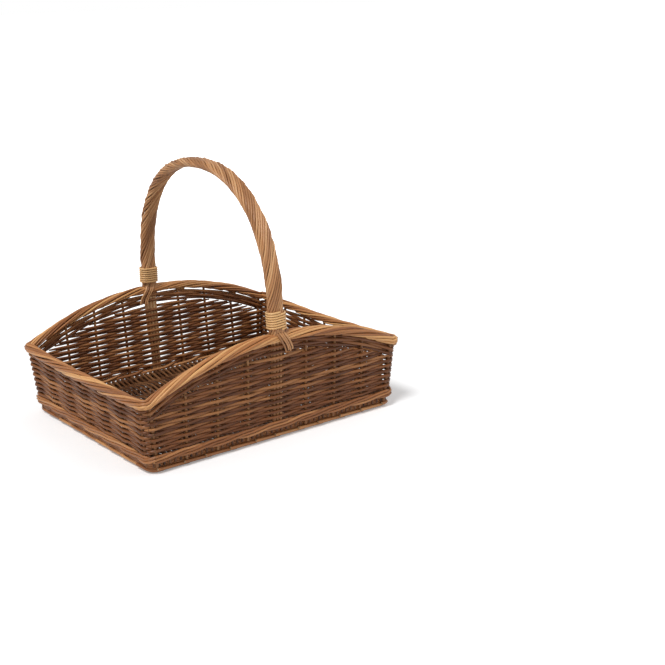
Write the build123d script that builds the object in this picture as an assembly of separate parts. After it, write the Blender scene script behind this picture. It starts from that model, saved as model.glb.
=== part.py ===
from build123d import *
import math
import os

os.makedirs("parts", exist_ok=True)

# A rectangular willow garden trug: a low basket whose long sides rise to a roped handle.
# X runs along the basket, Y across it, Z up. The origin is on the ground under its middle.
# Every length is in millimetres.

# Plan of the walls, measured between the centres of facing uprights
base_length = 470.0
base_width = 377.0
end_wall_lean_share = 0.1
side_wall_lean_share = 0.065

# Heights of the border's centre line
corner_height = 117.0
peak_height = 174.0
end_sag = 6.0
rim_corner_radius = 18.0

# Clearances
fit = 0.15
seat = 0.3

# Uprights
stake_radius = 3.0
stake_tip_radius = 2.5
post_radius = 3.4
post_from_corner = 11.0
long_bays_each_side = 4
end_bays_each_side = 3

# Foot of short rods under the walls
foot_radius = 2.6
foot_gap = 0.25
foot_flat_depth = 0.3
foot_drop_share = 0.62
foot_rod_bays = 1.6

# Woven base
base_stick_radius = 2.5
base_edge_stick_radius = 2.9
base_weaver_radius = 2.2
base_weaver_gap = 3.0
base_curl_degrees = (8.0, 49.0, 90.0)
inner_sticks = 5

# Bottom wale of three rods
wale_radius = 2.2
wale_gap = 0.3
wale_rods = 3

# Siding of single rods, each in front of one upright and behind the next
weaver_radius = 1.9
weaver_gap = 0.4
shortest_weaver = 60.0

# Border of rods laid along the rim, each turning from its outer face over to its inner one
border_rod_radius = 2.6
border_ring_radius = 6.8
border_start_pitch = 30.0
border_first_share = 0.5
border_rods_abreast = 5
border_first_angle = -68.0
border_last_angle = 172.0
shortest_border_rod = 22.0

# Handle: three core rods, wrapped by a rope of thinner rods
handle_height = 427.0
handle_span = 394.0
handle_spring_height = 216.0
handle_squareness = 2.24
core_radius = 3.0
core_rods_each_side = 1
rope_rods = 11
rope_rod_radius = 2.3
rope_pitch = 160.0

# Bindings at the foot of the handle
binding_radius = 1.7
binding_gap = 0.55
binding_turns = 6
gap_samples_each_turn = 32
binding_over_border = 5.0

# Ends of the rope rods, crossed over the border and tucked down beside the siding
tails_abreast = 4
tail_radius = 2.1
tail_drop = 25.0
tail_sweep = 18.0
tail_step_share = 0.125
eased_steepest = 1.5

# How finely a rod's centre line is drawn
rim_step = 4.0
arch_step = 8.0
rope_section_step = 12.0
core_section_step = 26.0
border_section_step = 12.0

# Below this a bend counts as straight
nearly_straight_share = 1e-5

# How a rod ends past a corner post: shares of the way to the corner, and of its offset there
TIP_OUTSIDE_SHARES = ((0.6, 0.9), (1.1, 0.42))
TIP_INSIDE_SHARES = ((0.5, 0.88),)
WALE_TIP_OUTSIDE_SHARE = 0.62
WALE_TIP_INSIDE_SHARE = 0.15

# Worked out from the sizes above
rope_ring_radius = core_radius + rope_rod_radius + fit
core_pitch = 2 * core_radius + fit
border_outer = border_ring_radius + border_rod_radius
post_offset = post_radius + weaver_radius + fit
long_half_at_corner = base_length / 2 + end_wall_lean_share * corner_height
rim_rise = peak_height - corner_height
rim_half_chord = long_half_at_corner - rim_corner_radius / 2
rim_arc_radius = (rim_half_chord**2 + rim_rise**2) / (2 * rim_rise)


def half_length(z):
    """Distance from the middle to the end walls' uprights at height z."""
    return base_length / 2 + end_wall_lean_share * z


def half_width(z):
    """Distance from the middle to the side walls' uprights at height z."""
    return base_width / 2 + side_wall_lean_share * z


def side_rim_height(x, below=0):
    """Height of a long side's border line, one arc from corner to corner, or of a line below it."""
    inside = max((rim_arc_radius - below) ** 2 - x**2, 0)
    return peak_height - rim_arc_radius + math.sqrt(inside)


def end_rim_height(y, below=0):
    """Height of an end's border line, which sags a little, or of a line below it."""
    across = min(abs(y) / half_width(corner_height), 1)
    return corner_height - end_sag * (1 - across**2) - below


def front(u, n, z):
    """A place on the front wall: u along it, n outwards from its uprights."""
    return Vector(u, -half_width(z) - n, z)


def back(u, n, z):
    """A place on the back wall."""
    return Vector(-u, half_width(z) + n, z)


def left_end(u, n, z):
    """A place on the left end wall."""
    return Vector(-half_length(z) - n, -u, z)


def right_end(u, n, z):
    """A place on the right end wall."""
    return Vector(half_length(z) + n, u, z)


def joined_arcs(p0, t0, p1, t1):
    """Two arcs that leave p0 along t0 and reach p1 along t1, or a line where both point ahead."""
    reach = p1 - p0
    ahead = reach.normalized()
    if (t0 - ahead).length < nearly_straight_share and (t1 - ahead).length < nearly_straight_share:
        return [Edge.make_line(p0, p1)]
    both = t0 + t1
    a = 2 * (1 - t0.dot(t1))
    b = 2 * reach.dot(both)
    c = -reach.dot(reach)
    arm = -c / b if a < nearly_straight_share**2 else (-b + math.sqrt(b * b - 4 * a * c)) / (2 * a)
    knee0, knee1 = p0 + t0 * arm, p1 - t1 * arm
    middle = (knee0 + knee1) / 2
    turn = (knee1 - knee0).normalized()
    return [arc_or_line(p0, t0, middle), arc_or_line(middle, turn, p1)]


def arc_or_line(start, along, end):
    """An arc from start to end that leaves along a direction, or a line where that points at it."""
    if ((end - start).normalized() - along).length < nearly_straight_share:
        return Edge.make_line(start, end)
    return Edge.make_tangent_arc(start, along, end)


def smooth_path(points):
    """A smooth line of arcs through points, heading along the first and last chords at its ends."""
    last = len(points) - 1
    chords = [(after - before).normalized() for before, after in zip(points, points[1:])]
    headings = [chords[0]]
    for i in range(1, last):
        headings.append((points[i + 1] - points[i - 1]).normalized())
    headings.append(chords[-1])
    edges = []
    for i in range(last):
        edges += joined_arcs(points[i], headings[i], points[i + 1], headings[i + 1])
    return Wire(edges)


def rod(points, radius):
    """A round rod of one thickness bent smoothly through points."""
    path = smooth_path(points)
    start = Plane(origin=points[0], z_dir=(points[1] - points[0]).normalized())
    return sweep(start * Circle(radius), path=path)


def straight_rod(start, end, start_radius, end_radius):
    """A straight rod that tapers evenly."""
    along = (end - start).normalized()
    ends = zip((start, end), (start_radius, end_radius))
    rings = [Wire.make_circle(radius, Plane(origin=place, z_dir=along)) for place, radius in ends]
    return Solid.make_loft(rings, ruled=True)


def line_lengths(points):
    """Running length along a line of points, starting at zero."""
    lengths = [0.0]
    for before, after in zip(points, points[1:]):
        lengths.append(lengths[-1] + (after - before).length)
    return lengths


def at_length(points, lengths, s):
    """The place at running length s, and the direction there."""
    s = min(max(s, 0.0), lengths[-1])
    i = 1
    while i < len(lengths) - 1 and lengths[i] < s:
        i += 1
    share = (s - lengths[i - 1]) / (lengths[i] - lengths[i - 1])
    here = points[i - 1] + (points[i] - points[i - 1]) * share
    ahead = points[min(i + 1, len(points) - 1)] - points[max(i - 2, 0)]
    return here, ahead.normalized()


def even_steps(start, end, step):
    """Evenly spaced values from start to end, at most a step apart."""
    count = max(2, math.ceil((end - start) / step))
    return [start + (end - start) * i / count for i in range(count + 1)]


def side_uprights(z):
    """(place along, half width, half thickness) of each upright of a long wall at height z."""
    post = half_length(z) - post_from_corner
    pitch = (half_length(corner_height / 2) - post_from_corner) / long_bays_each_side
    found = [(-post, 0.0, post_radius)]
    for i in range(1 - long_bays_each_side, long_bays_each_side):
        if i == 0:
            found.append((0.0, core_pitch * core_rods_each_side + core_radius, core_radius))
        else:
            found.append((i * pitch, 0.0, stake_radius))
    return found + [(post, 0.0, post_radius)]


def end_uprights(z):
    """(place along, half width, half thickness) of each upright of an end wall at height z."""
    post = half_width(z) - post_from_corner
    pitch = (half_width(corner_height / 2) - post_from_corner) / end_bays_each_side
    found = [(-post, 0.0, post_radius)]
    for i in range(1 - end_bays_each_side, end_bays_each_side):
        found.append((i * pitch, 0.0, stake_radius))
    return found + [(post, 0.0, post_radius)]


def tip_at(u, line):
    """The place at u on a line of (u, offset) points."""
    for (u0, n0), (u1, n1) in zip(line, line[1:]):
        if u0 <= u <= u1:
            return u, n0 + (n1 - n0) * (u - u0) / (u1 - u0)
    return line[-1]


def woven_line(wall, uprights, sides, radius, z, corner_u, reach):
    """Points of a rod that passes each upright on the side given, +1 outside and -1 inside.

    It starts and ends past the corner posts, or at reach from the middle if that is nearer.
    """
    stops = []
    for (u, half, thick), side in zip(uprights, sides):
        offset = side * (thick + radius + fit)
        stops += [(u - half, offset), (u + half, offset)] if half else [(u, offset)]
    line = stops
    for side, place in ((sides[0], 0), (sides[-1], -1)):
        u, n = stops[place]
        outward = math.copysign(1, u)
        past = [(u + outward * (corner_u - abs(u)) * share, n * bend)
                for share, bend in (TIP_OUTSIDE_SHARES if side > 0 else TIP_INSIDE_SHARES)]
        line = past[::-1] + line if place == 0 else line + past
    post = uprights[-1][0]
    if reach < post + radius:
        reach = min(reach, post - uprights[-1][2] - fit)
    if reach < line[-1][0]:
        kept = [p for p in line if abs(p[0]) < reach - radius]
        line = [tip_at(-reach, line), *kept, tip_at(reach, line)]
    return [wall(u, n, z) for u, n in line]


def rows_between(low, high, radius, gap):
    """Heights of rows of rods stacked from low to no higher than high."""
    pitch = 2 * radius + gap
    count = int((high - low - 2 * radius) // pitch) + 1
    return [low + radius + i * pitch for i in range(max(count, 0))]


foot_rise = foot_drop_share * foot_rod_bays * (2 * foot_radius + foot_gap)
foot_spread = math.sqrt(1 - foot_drop_share**2) * foot_rod_bays * (2 * foot_radius + foot_gap)
foot_top = 2 * foot_radius - foot_flat_depth + foot_rise
wall_bottom = foot_top + seat
base_plane = wall_bottom + base_edge_stick_radius + 2 * base_weaver_radius + fit
base_top = base_plane + base_edge_stick_radius + 2 * base_weaver_radius + fit
wale_bottom = base_plane + fit
wale_top = wale_bottom + wale_rods * (2 * wale_radius + wale_gap)
siding_bottom = wale_top + seat
under_border = border_outer + seat


def uprights_of_wall(wall, uprights_at, rim_height):
    """The stakes of one wall, each from above the foot to under the border."""
    stakes = []
    for u, half, thick in uprights_at(wall_bottom):
        if half or thick == post_radius:
            continue
        top = rim_height(abs(u) + thick, under_border)
        stakes.append(straight_rod(wall(u, 0, wall_bottom), wall(u, 0, top), thick, stake_tip_radius))
    return stakes


def corner_posts(x_side, y_side):
    """The two posts beside one corner."""
    top = corner_height - under_border - end_sag / 2
    posts = []
    for dx, dy in ((post_from_corner, 0), (0, post_from_corner)):
        ends = [Vector(x_side * (half_length(z) - dx), y_side * (half_width(z) - dy), z)
                for z in (wall_bottom, top)]
        posts.append(straight_rod(*ends, post_radius, post_radius))
    return posts


def reach_under_rim(z, radius):
    """How far from the middle a row at height z can run before the border stops it."""
    widest = half_length(z) + post_offset
    if z + radius + under_border <= corner_height:
        return widest
    arc = rim_arc_radius - under_border - radius
    above_centre = z - peak_height + rim_arc_radius
    return min(math.sqrt(max(arc**2 - above_centre**2, 0)), widest)


def siding_of_side(wall):
    """All siding rods of a long wall. Upper rows shorten under the arched border."""
    rods = []
    rows = rows_between(siding_bottom, peak_height - under_border, weaver_radius, weaver_gap)
    for k, z in enumerate(rows):
        reach = reach_under_rim(z, weaver_radius)
        if reach < shortest_weaver:
            continue
        uprights = side_uprights(z)
        sides = [1 if (i + k) % 2 == 0 else -1 for i in range(len(uprights))]
        line = woven_line(wall, uprights, sides, weaver_radius, z, half_length(z), reach)
        rods.append(rod(line, weaver_radius))
    return rods


def siding_of_end(wall):
    """All siding rods of an end wall, each opposite in phase to the side wall's row beside it."""
    rods = []
    top = corner_height - end_sag - under_border
    rows = rows_between(siding_bottom, top, weaver_radius, weaver_gap)
    for k, z in enumerate(rows):
        uprights = end_uprights(z)
        sides = [-1 if (i + k) % 2 == 0 else 1 for i in range(len(uprights))]
        reach = half_width(z) + post_offset
        line = woven_line(wall, uprights, sides, weaver_radius, z, half_width(z), reach)
        rods.append(rod(line, weaver_radius))
    return rods


def wale_of_wall(wall, uprights_at, corner_at):
    """The stronger rods at the foot of a wall, each behind one upright in as many as there are rods."""
    rods = []
    for j in range(wale_rods):
        z = wale_bottom + wale_radius + j * (2 * wale_radius + wale_gap)
        uprights = uprights_at(z)
        stops = []
        for i, (u, half, thick) in enumerate(uprights):
            side = -1 if (i + j) % wale_rods == wale_rods - 1 else 1
            offset = side * (thick + wale_radius + fit)
            stops += [(u - half, offset), (u + half, offset)] if half else [(u, offset)]
        line = stops
        for place in (0, -1):
            u, n = stops[place]
            share = WALE_TIP_OUTSIDE_SHARE if n > 0 else WALE_TIP_INSIDE_SHARE
            past = (u + math.copysign((corner_at(z) - abs(u)) * share, u), n)
            line = [past, *line] if place == 0 else [*line, past]
        rods.append(rod([wall(u, n, z) for u, n in line], wale_radius))
    return rods


def foot_of_wall(wall, uprights_at, end_at):
    """Short rods laid like tiles along the ground under a wall, high and outside to low and inside."""
    places = [u for u, _, _ in uprights_at(foot_radius)]
    pitch = places[2] - places[1]
    low = foot_radius - foot_flat_depth
    places = [places[1] - pitch, *places[1:-1]]
    rods = []
    for start in places:
        ends = []
        for u in (max(start, -end_at), min(start + foot_rod_bays * pitch, end_at)):
            share = (u - start) / (foot_rod_bays * pitch)
            ends.append(wall(u, foot_spread * (0.5 - share), low + foot_rise * (1 - share)))
        laid = straight_rod(*ends, foot_radius, foot_radius)
        ground = Pos(0, 0, -base_length) * Box(4 * base_length, 4 * base_length, 2 * base_length)
        rods += (laid - ground).solids()
    return rods


inside_wale = stake_radius + 2 * wale_radius + fit + seat
base_stick_half = half_length(base_plane) - inside_wale
edge_stick_place = (
    half_width(base_plane) - inside_wale - 2 * base_weaver_radius - fit - base_edge_stick_radius
)


def base_stick_places():
    """Where the sticks lie across the base: the edge sticks first and last."""
    count = inner_sticks + 1
    return [edge_stick_place * (2 * i / count - 1) for i in range(count + 1)]


def base_stick(y, radius):
    """One stick along the base."""
    ends = [Vector(-base_stick_half, y, base_plane), Vector(base_stick_half, y, base_plane)]
    return straight_rod(*ends, radius, radius)


def base_weavers():
    """Rods across the base, over one stick and under the next, curled round the edge sticks."""
    pitch = 2 * base_weaver_radius + base_weaver_gap
    count = int((base_stick_half - base_weaver_radius) // pitch)
    places = base_stick_places()
    rods = []
    for k in range(-count, count + 1):
        points = []
        for i, y in enumerate(places):
            edge = i in (0, len(places) - 1)
            radius = base_edge_stick_radius if edge else base_stick_radius
            lift = (1 if (i + k) % 2 == 0 else -1) * (radius + base_weaver_radius + fit)
            if edge:
                curl = [math.radians(a) for a in base_curl_degrees]
                arc = [(y + math.copysign(abs(lift) * math.cos(a), y), lift * math.sin(a))
                       for a in curl]
                points += arc if y < 0 else arc[::-1]
            else:
                points.append((y, lift))
        x = k * pitch
        rods.append(rod([Vector(x, y, base_plane + z) for y, z in points], base_weaver_radius))
    return rods


def rim_line():
    """Centre line of the border, once round from the middle of the front, counter-clockwise."""
    long_straight = long_half_at_corner - rim_corner_radius
    wide_straight = half_width(corner_height) - rim_corner_radius
    quarter = []
    for x in even_steps(0, long_straight, rim_step):
        z = side_rim_height(x)
        quarter.append((x, -half_width(z), z))
    for a in even_steps(0, math.pi / 2, rim_step / rim_corner_radius)[1:-1]:
        x = long_straight + rim_corner_radius * math.sin(a)
        y = -wide_straight - rim_corner_radius * math.cos(a)
        quarter.append((x, y, side_rim_height(min(x, rim_half_chord))))
    for y in even_steps(-wide_straight, 0, rim_step):
        quarter.append((long_half_at_corner, y, end_rim_height(y)))
    half = quarter + [(x, -y, z) for x, y, z in quarter[-2::-1]]
    return [Vector(*p) for p in half] + [Vector(-x, y, z) for x, y, z in half[-2::-1]]


def border_angle(turned):
    """Where a rod lies round the border's section after that share of its length, in degrees."""
    return border_first_angle + (border_last_angle - border_first_angle) * turned


def clear_of_handle(start, rod_length, around):
    """The stretches of a rod left when it would run through a foot of the handle."""
    half_gap = core_pitch * core_rods_each_side + core_radius + border_rod_radius + seat
    stretches = [(start, start + rod_length)]
    for leg in (0, around / 2, around, around * 3 / 2):
        outside = math.cos(math.radians(border_angle((leg - start) / rod_length)))
        if outside * border_ring_radius >= core_radius + border_rod_radius + fit:
            continue
        stretches = [part for low, high in stretches
                     for part in ((low, min(high, leg - half_gap)), (max(low, leg + half_gap), high))
                     if part[1] - part[0] >= shortest_border_rod]
    return stretches


def border():
    """The border rods, sorted into the sides that they lie on."""
    line = rim_line()
    lengths = line_lengths(line)
    around = lengths[-1]
    count = round(around / border_start_pitch)
    rod_length = around / count * border_rods_abreast
    parts = {"front": [], "right_end": [], "back": [], "left_end": []}
    for k in range(count):
        start = (k + border_first_share) * around / count
        for low, high in clear_of_handle(start, rod_length, around):
            points = []
            for s in even_steps(low, high, border_section_step):
                here, along = at_length(line, lengths, s % around)
                out = Vector(along.Y, -along.X, 0).normalized()
                angle = math.radians(border_angle((s - start) / rod_length))
                ring = out * math.cos(angle) + along.cross(out) * -math.sin(angle)
                points.append(here + ring * border_ring_radius)
            middle, _ = at_length(line, lengths, (low + high) / 2 % around)
            if abs(middle.X) > long_half_at_corner - rim_corner_radius:
                part = "right_end" if middle.X > 0 else "left_end"
            else:
                part = "front" if middle.Y < 0 else "back"
            parts[part].append(rod(points, border_rod_radius))
    return parts


def arch_line():
    """Centre line of the handle in the YZ plane, from the foot of the front wall to the back's."""
    span, rise = handle_span / 2, handle_height - handle_spring_height
    power = 2 / handle_squareness
    leg = [(half_width(z), z) for z in even_steps(wale_bottom, peak_height, arch_step)]
    neck = peak_height + (handle_spring_height - peak_height) / 2
    leg.append(((half_width(peak_height) + span) / 2, neck))
    turns = math.ceil(span * math.pi / 2 / arch_step)
    for i in range(turns + 1):
        a = math.pi / 2 * i / turns
        leg.append((span * math.cos(a) ** power, handle_spring_height + rise * math.sin(a) ** power))
    leg = [Vector(0, -y, z) for y, z in leg]
    return leg + [Vector(0, -p.Y, p.Z) for p in leg[-2::-1]]


def arch_at_height(z):
    """Distance from the middle to the handle's centre line at height z on its leg."""
    for lower, upper in zip(ARCH, ARCH[1:]):
        if lower.Z <= z <= upper.Z:
            share = (z - lower.Z) / (upper.Z - lower.Z)
            return -(lower.Y + (upper.Y - lower.Y) * share)
    return handle_span / 2


ARCH = arch_line()
ARCH_LENGTHS = line_lengths(ARCH)


def handle_core():
    """The core rods, side by side, from the bottom of one wall over to the other."""
    rods = []
    for i in range(-core_rods_each_side, core_rods_each_side + 1):
        shift = Vector(i * core_pitch, 0, 0)
        steps = even_steps(0, ARCH_LENGTHS[-1], core_section_step)
        points = [at_length(ARCH, ARCH_LENGTHS, s)[0] + shift for s in steps]
        rods.append(rod(points, core_radius))
    return rods


def round_core(share, radius):
    """A place on the flat oval round the core rods, at that share of its way round: (x, n)."""
    straight = 2 * core_pitch * core_rods_each_side
    around = 2 * straight + 2 * math.pi * radius
    s = (share % 1) * around
    if s < straight:
        return s - straight / 2, radius
    s -= straight
    if s < math.pi * radius:
        a = math.pi / 2 - s / radius
        return straight / 2 + radius * math.cos(a), radius * math.sin(a)
    s -= math.pi * radius
    if s < straight:
        return straight / 2 - s, -radius
    a = -math.pi / 2 - (s - straight) / radius
    return -straight / 2 + radius * math.cos(a), radius * math.sin(a)


binding_bottom = peak_height + border_outer + binding_over_border
binding_pitch = 2 * binding_radius + binding_gap
binding_height = binding_turns * binding_pitch


def handle_rope():
    """The rope rods, wound side by side round the core from one binding to the other."""
    below = next(i for i, p in enumerate(ARCH) if p.Z > binding_bottom - binding_radius) - 1
    rise = (binding_bottom - binding_radius - ARCH[below].Z) / (ARCH[below + 1].Z - ARCH[below].Z)
    low = ARCH_LENGTHS[below] + rise * (ARCH_LENGTHS[below + 1] - ARCH_LENGTHS[below])
    rods = []
    for k in range(rope_rods):
        points = []
        for s in even_steps(low, ARCH_LENGTHS[-1] - low, rope_section_step):
            here, along = at_length(ARCH, ARCH_LENGTHS, s)
            out = Vector(1, 0, 0).cross(along) * -1
            x, n = round_core(k / rope_rods - s / rope_pitch, rope_ring_radius)
            points.append(here + Vector(x, 0, 0) + out * n)
        rods.append(rod(points, rope_rod_radius))
    return rods


def binding_path(y_side):
    """Centre line of a binding: quarter turns at its two edges, straight across its two faces."""
    flat = core_pitch * core_rods_each_side
    ring = rope_ring_radius + rope_rod_radius + fit + binding_radius
    quarter = math.pi / 2 * ring
    around = 4 * (flat + quarter)
    # each stop: (x, outwards, how far round from the stop before, heading across, heading out)
    stops = [
        (flat, ring, flat, 1, 0),
        (flat + ring, 0, quarter, 0, -1),
        (flat, -ring, quarter, -1, 0),
        (-flat, -ring, 2 * flat, -1, 0),
        (-flat - ring, 0, quarter, 0, 1),
        (-flat, ring, quarter, 1, 0),
    ]
    climb = binding_pitch / around
    foot = arch_at_height(binding_bottom)
    lean = (arch_at_height(binding_bottom + binding_height) - foot) / binding_height

    def place(x, n, s):
        rise = climb * s
        return Vector(x, y_side * (foot + lean * rise + n), binding_bottom + rise)

    def heading(across, out):
        return Vector(across, y_side * (lean * climb + out), climb).normalized()

    s = 0.0
    here, along = place(0, ring, s), heading(1, 0)
    edges = []
    for _ in range(binding_turns):
        for x, n, step, across, out in stops:
            s += step if (x, n, out) != (flat, ring, 0) or not edges else 2 * flat
            there, ahead = place(x, n, s), heading(across, out)
            edges += joined_arcs(here, along, there, ahead)
            here, along = there, ahead
    s += flat
    edges.append(Edge.make_line(here, place(0, ring, s)))
    return Wire(edges)


def least_gap(path, radius, turns, samples_each_turn):
    """The smallest space between a coil's own turns, measured on points along its centre line."""
    count = turns * samples_each_turn
    points = [path @ (i / count) for i in range(count + 1)]
    nearest = min(
        (points[j] - points[i]).length
        for i in range(count)
        for j in range(i + samples_each_turn // 2, min(count, i + samples_each_turn * 3 // 2) + 1)
    )
    return nearest - 2 * radius


def binding(y_side):
    """One rod wound round the foot of the handle, as an unbroken coil."""
    path = binding_path(y_side)
    gap = least_gap(path, binding_radius, binding_turns, gap_samples_each_turn)
    print("least gap from a binding to its own turns, in mm:", round(gap, 3))
    start = Plane(origin=path @ 0, z_dir=path % 0)
    return sweep(start * Circle(binding_radius), path=path)


def tails(y_side, n_side, x_side):
    """Ends of the rope rods, crossed over the border and down beside the siding."""
    over_border = border_outer + tail_radius + seat
    beside_siding = core_radius + 2 * weaver_radius + 2 * fit + tail_radius + seat
    top = binding_bottom - binding_radius - tail_radius - seat
    bottom = peak_height - tail_drop
    steepest = eased_steepest * tail_sweep / (top - bottom)
    pitch = (2 * tail_radius + fit) * math.sqrt(1 + steepest**2)
    rods = []
    for i in range(tails_abreast):
        shift = (i - (tails_abreast - 1) / 2) * pitch
        points = []
        for share in even_steps(0, 1, tail_step_share):
            z = top + (bottom - top) * share
            if z > peak_height:
                lean = n_side * (half_width(peak_height) - arch_at_height(z))
                over = math.sqrt(max(over_border**2 - (z - peak_height) ** 2, 0))
                n = max(over + lean, rope_ring_radius)
            else:
                below = max(min((peak_height - border_outer / 2 - z) / border_outer, 1), 0)
                n = over_border + (beside_siding - over_border) * eased(below)
            x = x_side * (shift + tail_sweep * eased(share))
            points.append(Vector(x, y_side * (arch_at_height(z) + n_side * n), z))
        rods.append(rod(points, tail_radius))
    return rods


def eased(share):
    """The share made to start and stop gently, steepest in its middle."""
    return share * share * (3 - 2 * share)


def save(name, solids):
    """Writes one node as separate solids."""
    export_step(Compound(children=list(solids)), f"parts/{name}.step")


def main():
    """Builds every node."""
    save("foot_rods_front", foot_of_wall(front, side_uprights, half_length(0)))
    save("foot_rods_back", foot_of_wall(back, side_uprights, half_length(0)))
    inner = half_width(0) - foot_spread / 2 - foot_radius - seat
    save("foot_rods_left_end", foot_of_wall(left_end, end_uprights, inner))
    save("foot_rods_right_end", foot_of_wall(right_end, end_uprights, inner))

    places = base_stick_places()
    save("base_edge_stick_front", [base_stick(places[0], base_edge_stick_radius)])
    save("base_edge_stick_back", [base_stick(places[-1], base_edge_stick_radius)])
    save("base_sticks", [base_stick(y, base_stick_radius) for y in places[1:-1]])
    save("base_weavers", base_weavers())

    save("stakes_front", uprights_of_wall(front, side_uprights, side_rim_height))
    save("stakes_back", uprights_of_wall(back, side_uprights, side_rim_height))
    save("stakes_left_end", uprights_of_wall(left_end, end_uprights, end_rim_height))
    save("stakes_right_end", uprights_of_wall(right_end, end_uprights, end_rim_height))
    for x_name, x_side in (("left", -1), ("right", 1)):
        for y_name, y_side in (("front", -1), ("back", 1)):
            save(f"corner_posts_{y_name}_{x_name}", corner_posts(x_side, y_side))

    save("bottom_wale_front", wale_of_wall(front, side_uprights, half_length))
    save("bottom_wale_back", wale_of_wall(back, side_uprights, half_length))
    save("bottom_wale_left_end", wale_of_wall(left_end, end_uprights, half_width))
    save("bottom_wale_right_end", wale_of_wall(right_end, end_uprights, half_width))

    save("siding_front", siding_of_side(front))
    save("siding_back", siding_of_side(back))
    save("siding_left_end", siding_of_end(left_end))
    save("siding_right_end", siding_of_end(right_end))

    for part, rods in border().items():
        save(f"border_{part}", rods)

    save("handle_core_rods", handle_core())
    save("handle_rope_rods", handle_rope())
    save("handle_binding_front", [binding(-1)])
    save("handle_binding_back", [binding(1)])
    save("handle_tails_front_outer", tails(-1, 1, 1))
    save("handle_tails_front_inner", tails(-1, -1, -1))
    save("handle_tails_back_outer", tails(1, 1, 1))
    save("handle_tails_back_inner", tails(1, -1, -1))


main()
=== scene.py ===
"""A willow garden trug: a woven base and walls, a plain border, and a roped handle bound at its feet."""
import logging
import math
import random
from collections.abc import Callable, Iterator
from dataclasses import dataclass, field
from enum import Enum
from functools import cache

import bmesh
import bpy
import numpy as np
from mathutils import Matrix, Vector


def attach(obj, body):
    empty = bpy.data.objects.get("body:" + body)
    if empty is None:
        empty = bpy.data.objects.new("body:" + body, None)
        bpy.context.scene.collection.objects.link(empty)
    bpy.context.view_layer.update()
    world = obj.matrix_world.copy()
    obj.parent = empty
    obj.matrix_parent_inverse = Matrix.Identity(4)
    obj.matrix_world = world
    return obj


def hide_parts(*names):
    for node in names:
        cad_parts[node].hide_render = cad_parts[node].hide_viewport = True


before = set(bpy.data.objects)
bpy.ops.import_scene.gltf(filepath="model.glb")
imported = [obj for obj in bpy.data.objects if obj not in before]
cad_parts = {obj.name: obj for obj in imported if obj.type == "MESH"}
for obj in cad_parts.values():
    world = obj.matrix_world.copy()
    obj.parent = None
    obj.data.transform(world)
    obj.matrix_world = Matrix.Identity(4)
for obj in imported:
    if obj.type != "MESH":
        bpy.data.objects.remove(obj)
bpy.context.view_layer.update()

LOG = logging.getLogger("trug")
BODY = "root"
TONE = "tone"
GRAIN_UV = "grain"
PHOTO_PIXELS = 665
# How far each rod's grain is shifted from the one before, along it and round it
GRAIN_SHIFT = (1.7, 3.1)
# Share of its radius that a rod keeps at the very end, where its ends are drawn in
DRAWN_END = 0.82
# Points nearer to each other than this are joined along a tube's seam
SEAM = 1e-7
# A rod that starts with a smaller sine than this to the vertical counts as upright
UPRIGHT_SINE = 0.2

Colour = tuple[float, float, float]
Range = tuple[float, float]


class Wall(Enum):
    """The four walls in the order that a weaver goes round them, seen from above against the clock."""

    FRONT = 0
    RIGHT_END = 1
    BACK = 2
    LEFT_END = 3

    @property
    def label(self) -> str:
        """The wall's name as pieces carry it."""
        return self.name.lower()


LONG_WALLS = (Wall.FRONT, Wall.BACK)


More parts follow.
